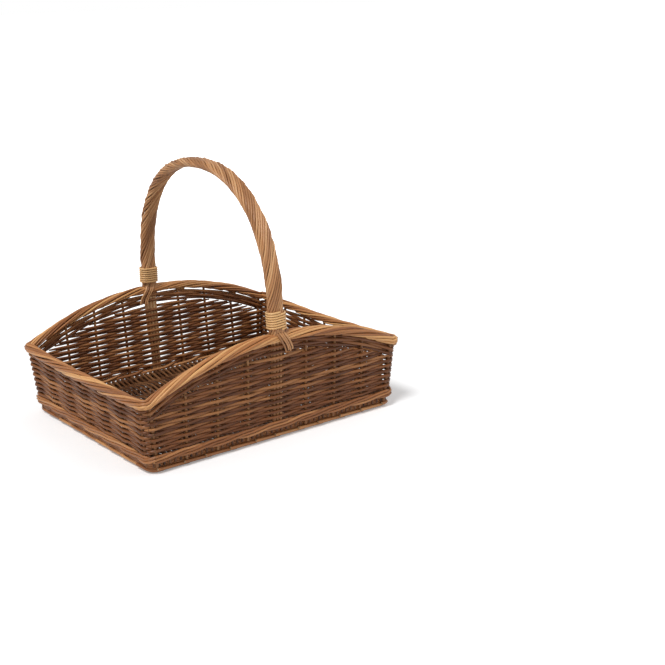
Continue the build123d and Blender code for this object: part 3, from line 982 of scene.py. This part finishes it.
@dataclass
class Foot:
    """The foot: short rods laid like tiles round the edge of the base, and the rods packed above them."""

    shape: TrugShape
    radius: float = 0.0026
    start_pitch: float = 0.044
    abreast: float = 2.3
    drop: float = 0.0054
    spread: float = 0.0078
    flat: float = 0.0003
    tip_share: float = 0.86
    corner_radius: float = 0.012
    packed_heights: tuple[float, ...] = (0.0082, 0.0118, 0.0155)
    packed_inset: float = 0.0042
    end_packed_inset: float = 0.0012
    packed_wave: float = 0.0004
    packed_wave_number: float = 90
    packed_points: int = 50
    step: float = 0.006
    start_stray: float = 0.1
    thickness: Range = (0.94, 1.04)
    tones: Range = (0.3, 0.9)
    packed_tones: Range = (0.2, 0.6)
    seed: int = 3

    def build(self) -> None:
        """Lays the foot rods once round, each starting high and outside and ending low and inside."""
        rng = random.Random(self.seed)
        bundles = RodBundle.on_each_wall("foot_rods_on", WALE, "foot_rods")
        line = Round(self.shape, lambda _wall, _u: self.radius, corner_radius=self.corner_radius)
        count = round(line.total / self.start_pitch)
        pitch = line.total / count
        low = self.radius - self.flat
        for k in range(count):
            start = (k + rng.uniform(-self.start_stray, self.start_stray)) * pitch
            length = pitch * self.abreast
            s = np.linspace(start, start + length, int(length / self.step))
            share = (s - start) / length
            points, out = line.at(s)
            points = points + out * (self.spread * (0.5 - share))[:, None]
            points[:, 2] = low + self.drop * (1 - share)
            butt = self.radius * rng.uniform(*self.thickness)
            radii = tapered(len(s), butt, butt * self.tip_share)
            points[:, 2] = np.maximum(points[:, 2], radii)
            bundles[line.wall_at(s[len(s) // 2])].add(points, radii, rng.uniform(*self.tones))
        self._pack(bundles, rng)
        for bundle in bundles.values():
            bundle.build()

    def _pack(self, bundles: dict[Wall, RodBundle], rng: random.Random) -> None:
        """Lays the rods that fill the space between the foot and the wale, a stretch for each wall.

        Args:
            bundles: The walls' foot rods.
            rng: Where their chances come from.
        """
        for z in self.packed_heights:
            line = Round(self.shape, lambda _wall, _u, z=z: z, corner_radius=self.corner_radius)
            starts = [line.length_at(wall, -self.shape.half_extent(wall, z)) for wall in Wall]
            for wall, start, end in zip(Wall, starts, [*starts[1:], line.total]):
                s = np.linspace(start, end, self.packed_points)
                points, out = line.at(s)
                inset = self.packed_inset if wall in LONG_WALLS else self.end_packed_inset
                points = points - out * inset
                points[:, 2] += self.packed_wave * np.sin(s * self.packed_wave_number)
                radii = np.full(self.packed_points, self.radius)
                bundles[wall].add(points, radii, rng.uniform(*self.packed_tones))


@dataclass
class WovenBase:
    """The base: lengthwise sticks with rods woven across them and curled round the edge sticks."""

    shape: TrugShape
    stick_radius: float = 0.0025
    edge_radius: float = 0.0029
    weaver_radius: float = 0.0022
    weaver_gap: float = 0.0004
    weaver_stray: float = 0.0006
    weaver_sway: float = 0.0005
    inner_sticks: int = 5
    inside_wall: float = 0.0005
    clearance: float = 0.00015
    end_outset: float = 0.001
    end_drop: float = 0.0072
    end_rise: float = 0.003
    curl_angles: tuple[float, ...] = (0, 30, 60, 90)
    bend_shares: tuple[float, ...] = (0.2, 0.4, 0.6, 0.8)
    stick_points: int = 30
    sway_turns: Range = (4, 9)
    thickness: Range = (0.86, 1.0)
    tip_share: float = 0.93
    edge_tone: float = 0.55
    stick_tones: Range = (0.35, 0.7)
    tones: Range = (0.2, 0.8)
    step: float = 0.006
    seed: int = 8

    def stick_places(self) -> list[float]:
        """Where the sticks lie across the base.

        Returns:
            Their places, the edge sticks' first and last.
        """
        edge = (self.shape.width_at(self.shape.base_plane) - self.inside_wall
                - 2 * self.weaver_radius - self.clearance - self.edge_radius)
        count = self.inner_sticks + 1
        return [edge * (2 * i / count - 1) for i in range(count + 1)]

    def build(self) -> None:
        """Lays the sticks and weaves the rods across them."""
        rng = random.Random(self.seed)
        half = self.shape.length_at(self.shape.base_plane) - self.inside_wall
        places = self.stick_places()
        for name, y in (("front", places[0]), ("back", places[-1])):
            edge = RodBundle(f"base_edge_rod_{name}", BASE_WITH_PAINTED_SHADE, f"base_edge_stick_{name}")
            radii = np.full(self.stick_points, self.edge_radius)
            edge.add(self._stick(y, half), radii, self.edge_tone)
            edge.build()
        sticks = RodBundle("base_stick_rods", BASE_WITH_PAINTED_SHADE, "base_sticks")
        for y in places[1:-1]:
            radii = np.full(self.stick_points, self.stick_radius)
            sticks.add(self._stick(y, half), radii, rng.uniform(*self.stick_tones))
        sticks.build()
        across = RodBundle("base_woven_rods", BASE_WITH_PAINTED_SHADE, "base_weavers", sides=7)
        pitch = 2 * self.weaver_radius + self.weaver_gap
        count = int((half - self.weaver_radius) // pitch)
        for k in range(-count, count + 1):
            points = self._weaver(k * pitch, k, places)
            stray = rng.uniform(-self.weaver_stray, self.weaver_stray)
            turns = np.linspace(0, rng.uniform(*self.sway_turns), len(points))
            points[:, 0] += stray + self.weaver_sway * np.sin(turns)
            radius = self.weaver_radius * rng.uniform(*self.thickness)
            radii = tapered(len(points), radius, radius * self.tip_share)
            across.add(points, radii, rng.uniform(*self.tones))
        across.build()

    def _stick(self, y: float, half: float) -> np.ndarray:
        """Points of one straight stick."""
        along = np.linspace(-half, half, self.stick_points)
        return np.array([(x, y, self.shape.base_plane) for x in along])

    def _weaver(self, x: float, phase: int, places: list[float]) -> np.ndarray:
        """Points of one rod across the base.

        Args:
            x: Where it lies along the base.
            phase: Whether it passes over or under the first stick.
            places: Where the sticks lie.

        Returns:
            The points.
        """
        points = []
        for i, y in enumerate(places):
            edge = i in (0, len(places) - 1)
            radius = self.edge_radius if edge else self.stick_radius
            lift = (1 if (i + phase) % 2 == 0 else -1) * (radius + self.weaver_radius + self.clearance)
            if edge:
                outward = math.copysign(1, y)
                reach = abs(lift)
                beyond = y + outward * (reach + self.end_outset)
                ends = (-self.end_drop, -self.end_drop / 2) if lift > 0 else (self.end_rise,)
                arc = [(beyond, z) for z in ends]
                for a in np.radians(self.curl_angles):
                    arc.append((y + outward * reach * math.cos(a), lift * math.sin(a)))
                points += arc if y < 0 else arc[::-1]
            else:
                points.append((y, lift))
            if i < len(places) - 1:
                for share in self.bend_shares:
                    bend = math.cos(math.pi * share)
                    points.append((y + (places[i + 1] - y) * share, lift * bend))
        line = [(x, y, self.shape.base_plane + z) for y, z in points]
        return resampled(np.array(line), self.step)


@dataclass
class Border:
    """The border: rods laid along the rim, each turning from its outer face over to its inner one.

    Angles are in degrees round the rim, from straight outwards over the top.
    """

    shape: TrugShape
    rod_radius: float = 0.0024
    tip_radius: float = 0.0018
    ring_radius: float = 0.0067
    start_pitch: float = 0.029
    abreast: float = 8.2
    first_angle: float = -66.0
    last_angle: float = 222.0
    corner_radius: float = 0.006
    stray_angle: float = 9.0
    stray_radius: float = 0.0009
    stray_knots: int = 6
    start_stray: float = 0.18
    length_spread: Range = (0.97, 1.04)
    sunk_share: float = 0.1
    butt_sunk: float = 0.1
    tip_sunk: float = 0.15
    leg_ease: float = 1.6
    leg_half_width: float = 0.0125
    outside_leg_angle: float = 22.0
    inside_leg_angle: float = 158.0
    filling_radius: float = 0.0040
    # A tone below the darkest border rod: painted shade that shows through the gaps between the border's
    # rods
    filling_painted_shade_tone: float = -0.3
    filling_corner_gap: float = 0.004
    step: float = 0.005
    filling_step: float = 0.01
    fewest_filling_points: int = 4
    butt_thickness: Range = (0.95, 1.06)
    tip_thickness: Range = (0.95, 1.1)
    tones: Range = (0.12, 0.92)
    seed: int = 17

    def build(self) -> None:
        """Lays the rods once round the rim."""
        rng = random.Random(self.seed)
        line = Round(self.shape, self.shape.rim_at, corner_radius=self.corner_radius)
        count = round(line.total / self.start_pitch)
        pitch = line.total / count
        length = pitch * self.abreast
        legs = [line.length_at(wall, 0.0) for wall in LONG_WALLS]
        legs += [leg + line.total for leg in legs]
        bundles = RodBundle.on_each_wall("border_rods", BORDER, "border")
        for k in range(count):
            start = (k + rng.uniform(-self.start_stray, self.start_stray)) * pitch
            end = start + length * rng.uniform(*self.length_spread)
            s = np.linspace(start, end, int(length / self.step))
            share = (s - start) / length
            angle = self.first_angle + (self.last_angle - self.first_angle) * share
            angle = np.radians(angle + self._stray(rng, share, self.stray_angle))
            for leg in legs:
                angle = self._beside_leg(angle, s - leg)
            near_butt = np.clip(1 - share / self.sunk_share, 0, 1)
            near_tip = np.clip((share - (1 - self.sunk_share)) / self.sunk_share, 0, 1)
            sunk = 1 - self.butt_sunk * near_butt - self.tip_sunk * near_tip
            ring = self.ring_radius * sunk + self._stray(rng, share, self.stray_radius)
            place, out = line.at(s)
            up = np.cross(unit(np.gradient(place, axis=0)), out) * -1
            points = (place + out * (np.cos(angle) * ring)[:, None]
                      + up * (np.sin(angle) * ring)[:, None])
            butt = self.rod_radius * rng.uniform(*self.butt_thickness)
            tip = self.tip_radius * rng.uniform(*self.tip_thickness)
            radii = tapered(len(points), butt, tip, rounded=1)
            bundles[line.wall_at(s[len(s) // 2])].add(points, radii, rng.uniform(*self.tones))
        for wall, bundle in bundles.items():
            self._fill(line, wall, bundle)
            bundle.build()

    def _beside_leg(self, angle: np.ndarray, from_leg: np.ndarray) -> np.ndarray:
        """Leads a rod past a leg of the handle on the side that it is on.

        Args:
            angle: The rod's angles round the rim, in radians.
            from_leg: How far from the leg's middle each point is.

        Returns:
            The angles, kept off the leg.
        """
        near = eased(np.clip(self.leg_ease - np.abs(from_leg) / self.leg_half_width, 0, 1))
        beside = np.where(angle > math.pi / 2, np.maximum(angle, math.radians(self.inside_leg_angle)),
                          np.minimum(angle, math.radians(self.outside_leg_angle)))
        return angle + (beside - angle) * near

    def _stray(self, rng: random.Random, share: np.ndarray, most: float) -> np.ndarray:
        """A gentle random departure along a rod, at most so large."""
        knots = [rng.uniform(-most, most) for _ in range(self.stray_knots)]
        return np.interp(share, np.linspace(0, 1, self.stray_knots), knots)

    def _fill(self, line: Round, wall: Wall, bundle: RodBundle) -> None:
        """Fills the middle of a wall's border with the bent tops of the uprights, which barely show; they
        are coloured darker than any border rod, as painted shade in the gaps between the border's rods.

        Args:
            line: The rim.
            wall: The wall.
            bundle: Its border rods.
        """
        half = self.shape.half_extent(wall, self.shape.corner_height) - self.filling_corner_gap
        spans = [(-half, half)]
        if wall in LONG_WALLS:
            spans = [(-half, -self.leg_half_width), (self.leg_half_width, half)]
        for low, high in spans:
            first, last = line.length_at(wall, low), line.length_at(wall, high)
            count = max(int((last - first) / self.filling_step), self.fewest_filling_points)
            place, _ = line.at(np.linspace(first, last, count))
            # The filling takes the darkest colour, as painted shade between the border's rods
            bundle.add(place, np.full(len(place), self.filling_radius), self.filling_painted_shade_tone)


@dataclass
class Handle:
    """The handle: three core rods, a rope of thinner rods wound round them and a binding at each foot."""

    shape: TrugShape
    height: float = 0.427
    span: float = 0.394
    spring_height: float = 0.216
    squareness: float = 2.24
    leg_points: int = 22
    arch_steps: int = 60
    line_step: float = 0.004
    # The core's tones are painted light and shade: the back leg is painted lighter for its shaded inner
    # face, and the tone inside the rope is painted shade in the rope's grooves
    front_core_tone: float = 0.45
    back_core_painted_light_tone: float = 0.95
    shaded_core_tone: float = -0.5
    core_tone_step: float = 0.12
    rope_rods: int = 15
    rope_radius: float = 0.00188
    rope_padding: float = 0.0013
    rope_pitch: float = 0.160
    rope_stray: float = 0.0006
    rope_stray_knots: int = 12
    rope_points: int = 150
    rope_thickness: Range = (0.9, 1.08)
    rope_tones: Range = (0.26, 0.72)
    rope_end_drop: float = 0.011
    rope_end_height: float = 0.07
    rope_end_heights: Range = (0.8, 1.3)
    rope_end_points: int = 30
    rope_end_depth: float = 0.85
    rope_end_tones: Range = (0.4, 0.6)
    # Rope ends on the back leg are painted lighter and those on the front darker: painted light for the
    # back leg's shaded inner face
    rope_end_painted_light_by_side: float = 0.2
    binding_radius: float = 0.0017
    binding_pitch: float = 0.00395
    binding_turns: int = 7
    binding_bottom: float = 0.1885
    binding_start: float = 0.1
    binding_points_per_turn: int = 44
    binding_tone: float = 0.5
    tails: int = 4
    tail_radius: float = 0.0020
    tail_spacing: float = 0.0044
    tail_drop: float = 0.025
    tail_sweep: float = 0.018
    tail_settles_over: float = 0.016
    tail_start: float = 0.001
    tail_points: int = 24
    tail_drops: Range = (0.88, 1.08)
    tail_sweeps: Range = (0.96, 1.04)
    tail_tones: Range = (0.2, 0.7)
    thin_end_share: float = 0.7
    siding_depth: float = 0.0036
    seed: int = 29

    def __post_init__(self) -> None:
        """Works out the arch's line and where the rope starts on it."""
        self.random = random.Random(self.seed)
        self.flat = self.shape.core_pitch
        self.rope_ring = self.shape.core_radius + self.rope_padding + self.rope_radius
        self.rope_bottom = self.binding_bottom - self.rope_end_drop
        heights = np.linspace(self.shape.wale_bottom, self.shape.peak_height, self.leg_points)
        leg = [(self.shape.width_at(z), z) for z in heights]
        neck = (self.shape.peak_height + self.spring_height) / 2
        leg.append(((self.shape.width_at(self.shape.peak_height) + self.span / 2) / 2, neck))
        power = 2 / self.squareness
        rise = self.height - self.spring_height
        for i in range(self.arch_steps + 1):
            a = math.pi / 2 * i / self.arch_steps
            leg.append((self.span / 2 * max(math.cos(a), 0) ** power,
                        self.spring_height + rise * math.sin(a) ** power))
        front = np.array([(0.0, -y, z) for y, z in leg])
        back = np.array([(0.0, y, z) for y, z in leg[-2::-1]])
        self.line = resampled(np.vstack((front, back)), self.line_step)
        self.lengths = lengths_along(self.line)
        self.front_half = slice(0, len(self.line) // 2)

    def centre_at(self, z: float) -> float:
        """Distance from the middle to the handle's centre line at height z on its leg."""
        half = self.line[self.front_half]
        return float(-np.interp(z, half[:, 2], half[:, 1]))

    def at(self, s: np.ndarray) -> tuple[np.ndarray, np.ndarray]:
        """Places on the arch and its outward directions at distances along it."""
        place = read_at(s, self.lengths, self.line)
        return place, np.cross(unit(np.gradient(place, axis=0)), (1.0, 0.0, 0.0)) * -1

    def oval(self, share: np.ndarray, radius: float) -> tuple[np.ndarray, np.ndarray]:
        """Places on the flat oval round the core rods.

        Args:
            share: How far round each is.
            radius: Distance from the core's middle line.

        Returns:
            The places across and outwards.
        """
        straight, bend = 2 * self.flat, math.pi * radius
        s = np.mod(share, 1) * 2 * (straight + bend)
        across = np.empty_like(s)
        out = np.empty_like(s)
        for i, d in enumerate(s):
            face = 1
            if d >= straight + bend:
                d -= straight + bend
                face = -1
            if d < straight:
                across[i], out[i] = face * (d - straight / 2), face * radius
                continue
            a = math.pi / 2 - (d - straight) / radius
            across[i] = face * (straight / 2 + radius * math.cos(a))
            out[i] = face * radius * math.sin(a)
        return across, out

    def build(self) -> None:
        """Makes the core, the rope, the bindings and the tucked ends."""
        self._core()
        self._rope()
        for name, side in (("front", -1), ("back", 1)):
            self._binding(name, side)
            self._tails(name, "outer", side, 1)
            self._tails(name, "inner", side, -1)

    def _core(self) -> None:
        """Makes the three core rods, coloured darkest as painted shade where only the rope's grooves show
        them, and lighter on the back leg than on the front as painted light for the back leg's shaded
        inner face.
        """
        bundle = RodBundle("handle_core", HANDLE, "handle_core_rods")
        place, _ = self.at(np.linspace(0, self.lengths[-1], self.rope_points))
        # Lighter tone on the back leg: painted light for its shaded inner face
        tone = np.where(place[:, 1] < 0, self.front_core_tone, self.back_core_painted_light_tone)
        tone = np.where(place[:, 2] > self.binding_bottom, self.shaded_core_tone, tone)
        for i in (-1, 0, 1):
            shift = np.array((i * self.shape.core_pitch, 0, 0))
            radii = np.full(len(place), self.shape.core_radius)
            bundle.add(place + shift, radii, tone + self.core_tone_step * i)
        self._beside_core(bundle)
        bundle.build()

    def _beside_core(self, bundle: RodBundle) -> None:
        """Runs the thin ends of a few rope rods down the wall on each side of the core.

        Args:
            bundle: The core's rods.
        """
        beside = self.flat + self.shape.core_radius + self.rope_radius * self.rope_end_depth
        for side in (-1, 1):
            for x_side in (-1, 1):
                bottom = self.rope_end_height * self.random.uniform(*self.rope_end_heights)
                heights = np.linspace(self.rope_bottom, bottom, self.rope_end_points)
                points = [(x_side * beside, side * self.centre_at(z), z) for z in heights]
                tip = self.rope_radius * self.thin_end_share
                radii = tapered(self.rope_end_points, self.rope_radius, tip)
                tone = self.random.uniform(*self.rope_end_tones)
                # Painted light: lighter on the back leg, darker on the front
                bundle.add(points, radii, tone + self.rope_end_painted_light_by_side * side)

    def _rope(self) -> None:
        """Winds the rope rods from one binding to the other."""
        bundle = RodBundle("handle_rope", HANDLE, "handle_rope_rods", sides=10)
        half = self.front_half
        low = float(np.interp(self.rope_bottom, self.line[half, 2], self.lengths[half]))
        s = np.linspace(low, self.lengths[-1] - low, self.rope_points)
        place, out = self.at(s)
        for k in range(self.rope_rods):
            across, n = self.oval(k / self.rope_rods + s / self.rope_pitch, self.rope_ring)
            knots = [self.random.uniform(-self.rope_stray, self.rope_stray)
                     for _ in range(self.rope_stray_knots)]
            stray = np.interp(s, np.linspace(s[0], s[-1], self.rope_stray_knots), knots)
            points = place + out * (n + stray)[:, None]
            points[:, 0] += across * (1 + stray / self.rope_ring)
            radii = np.full(len(s), self.rope_radius * self.random.uniform(*self.rope_thickness))
            bundle.add(points, radii, self.random.uniform(*self.rope_tones))
        bundle.build()

    def _binding(self, name: str, side: int) -> None:
        """Winds one binding as an unbroken coil.

        Args:
            name: Front or back.
            side: -1 at the front and 1 at the back.
        """
        bundle = RodBundle(f"handle_binding_coil_{name}", BINDING, f"handle_binding_{name}", sides=10)
        count = self.binding_turns * self.binding_points_per_turn
        share = np.linspace(0, self.binding_turns, count)
        ring = self.rope_ring + self.rope_radius + self.binding_radius
        across, n = self.oval(share + self.binding_start, ring)
        z = self.binding_bottom + share * self.binding_pitch
        y = np.array([self.centre_at(value) for value in z])
        points = np.stack((across, side * (y + n), z), axis=1)
        radii = tapered(count, self.binding_radius, self.binding_radius, rounded=2)
        bundle.add(points, radii, self.binding_tone)
        bundle.build()

    def _tails(self, name: str, face: str, side: int, lean: int) -> None:
        """Crosses the rope rods' ends over the border and tucks them in beside the siding.

        Args:
            name: Front or back.
            face: Inner or outer.
            side: -1 at the front and 1 at the back.
            lean: 1 on the outer face, where the ends lean to the right, and -1 on the inner.
        """
        bundle = RodBundle(f"handle_tail_rods_{name}_{face}", HANDLE, f"handle_tails_{name}_{face}")
        over = self.shape.border_reach + self.tail_radius
        beside = self.shape.core_radius + self.siding_depth + self.tail_radius
        top = self.binding_bottom + self.tail_start
        peak = self.shape.peak_height
        for i in range(self.tails):
            spread = i - (self.tails - 1) / 2
            bottom = peak - self.tail_drop * self.random.uniform(*self.tail_drops)
            sweep = self.tail_sweep * self.random.uniform(*self.tail_sweeps)
            points = []
            for share in np.linspace(0, 1, self.tail_points):
                z = top + (bottom - top) * share
                if z > peak:
                    inward = lean * (self.shape.width_at(peak) - self.centre_at(z))
                    n = max(math.sqrt(max(over**2 - (z - peak) ** 2, 0)) + inward, self.rope_ring)
                else:
                    n = over + (beside - over) * eased(min((peak - z) / self.tail_settles_over, 1))
                x = lean * (spread * self.tail_spacing + sweep * eased(share))
                points.append((x, side * (self.centre_at(z) + lean * n), z))
            tip = self.tail_radius * self.thin_end_share
            radii = tapered(self.tail_points, self.tail_radius, tip, rounded=1)
            bundle.add(points, radii, self.random.uniform(*self.tail_tones))
        bundle.build()


@dataclass
class Studio:
    """A pale floor, soft light and the camera.

    Angles are in degrees and the picture's centre is in the photograph's pixels. Each lamp has its
    name, the direction that it shines from, how wide it looks from the basket, and its strength.
    """

    lens: float = 70.2
    sensor: float = 36.0
    camera_place: tuple[float, float, float] = (-1.12421, -1.80417, 0.77361)
    yaw: float = 36.18
    pitch: float = 17.89
    roll: float = -1.784
    centre_right: float = -29.5
    centre_down: float = 23.5
    sky_strength: float = 0.47
    floor_radius: float = 14.0
    floor_sides: int = 96
    floor_colour: Colour = (0.86, 0.865, 0.87)
    floor_roughness: float = 0.9
    floor_gloss: float = 0.1
    floor_glow: float = 0.22
    white_from: float = 0.45
    white_at: float = 1.3
    lamps: tuple[tuple[str, tuple[float, float, float], float, float], ...] = (
        ("key_light", (-1.2, -0.5, 2.2), 18.0, 1.95),
        ("fill_light", (1.6, -0.9, 1.6), 60.0, 0.32),
    )

    def build(self) -> None:
        """Sets up the floor, the world, the lamps and the camera."""
        self._world()
        self._floor()
        for lamp in self.lamps:
            self._lamp(*lamp)
        self._camera()
        bpy.context.scene.view_settings.view_transform = "Standard"

    def _world(self) -> None:
        """Makes the surroundings white to the eye and softer as a light."""
        world = bpy.data.worlds.new("studio_white")
        bpy.context.scene.world = world
        sheet = NodeSheet(world)
        path = sheet.add("LightPath", {})
        seen = sheet.maths("MAXIMUM", path.outputs["Is Camera Ray"], path.outputs["Is Transmission Ray"])
        strength = sheet.maths("MULTIPLY_ADD", seen, 1 - self.sky_strength, self.sky_strength)
        sheet.feed(sheet.nodes["Background"], {"Color": (1, 1, 1, 1), "Strength": strength})

    def _floor(self) -> None:
        """Lays the pale floor, which turns to white away from the basket."""
        shape = bmesh.new()
        bmesh.ops.create_circle(shape, cap_ends=True, segments=self.floor_sides,
                                radius=self.floor_radius)
        mesh = bpy.data.meshes.new("studio_floor")
        shape.to_mesh(mesh)
        shape.free()
        floor = new_object("studio_floor", mesh)
        made = bpy.data.materials.new("studio_floor")
        sheet = NodeSheet(made)
        place = sheet.add("TexCoord", {}).outputs["Object"]
        distance = sheet.add("VectorMath", {0: place}, operation="LENGTH").outputs["Value"]
        fade = sheet.add("MapRange", {"Value": distance, "From Min": self.white_from,
                                      "From Max": self.white_at, "To Min": self.floor_glow, "To Max": 1.0})
        seen = sheet.add("LightPath", {}).outputs["Is Camera Ray"]
        sheet.feed(sheet.nodes["Principled BSDF"], {
            "Base Color": (*self.floor_colour, 1),
            "Roughness": self.floor_roughness,
            "Specular IOR Level": self.floor_gloss,
            "Emission Color": (1, 1, 1, 1),
            "Emission Strength": sheet.maths("MULTIPLY", seen, fade.outputs["Result"]),
        })
        mesh.materials.append(made)

    @staticmethod
    def _lamp(name: str, place: tuple[float, float, float], softness: float, strength: float) -> None:
        """Hangs one far, soft lamp that shines at the basket.

        Args:
            name: The lamp's name.
            place: The direction that it shines from.
            softness: How wide it looks from the basket, in degrees.
            strength: How strong it is.
        """
        lamp = bpy.data.lights.new(name, "SUN")
        lamp.angle = math.radians(softness)
        lamp.energy = strength
        thing = new_object(name, lamp)
        thing.location = place
        thing.rotation_euler = (-Vector(place)).to_track_quat("-Z", "Y").to_euler()

    def _camera(self) -> None:
        """Places the camera at the photograph's angle."""
        yaw, pitch, roll = (math.radians(a) for a in (self.yaw, self.pitch, self.roll))
        forward = Vector((math.cos(pitch) * math.sin(yaw), math.cos(pitch) * math.cos(yaw),
                          -math.sin(pitch)))
        right = Vector((math.cos(yaw), -math.sin(yaw), 0))
        up = right.cross(forward)
        across = right * math.cos(roll) + up * math.sin(roll)
        upward = up * math.cos(roll) - right * math.sin(roll)
        camera = bpy.data.cameras.new("camera")
        camera.sensor_fit = "HORIZONTAL"
        camera.sensor_width = self.sensor
        camera.lens = self.lens
        camera.shift_x = -self.centre_right / PHOTO_PIXELS
        camera.shift_y = self.centre_down / PHOTO_PIXELS
        thing = new_object("camera", camera)
        turn = Matrix((across, upward, -forward)).transposed()
        thing.matrix_world = Matrix.Translation(self.camera_place) @ turn.to_4x4()
        bpy.context.scene.camera = thing


def main() -> None:
    """Builds the trug and its studio, piece by piece."""
    logging.basicConfig(level=logging.INFO, format="%(message)s")
    shape = TrugShape()
    Studio().build()
    for part in (WovenBase, Foot, Uprights, Wale, Siding, Border, Handle):
        part(shape).build()


if __name__ == "__main__":
    main()
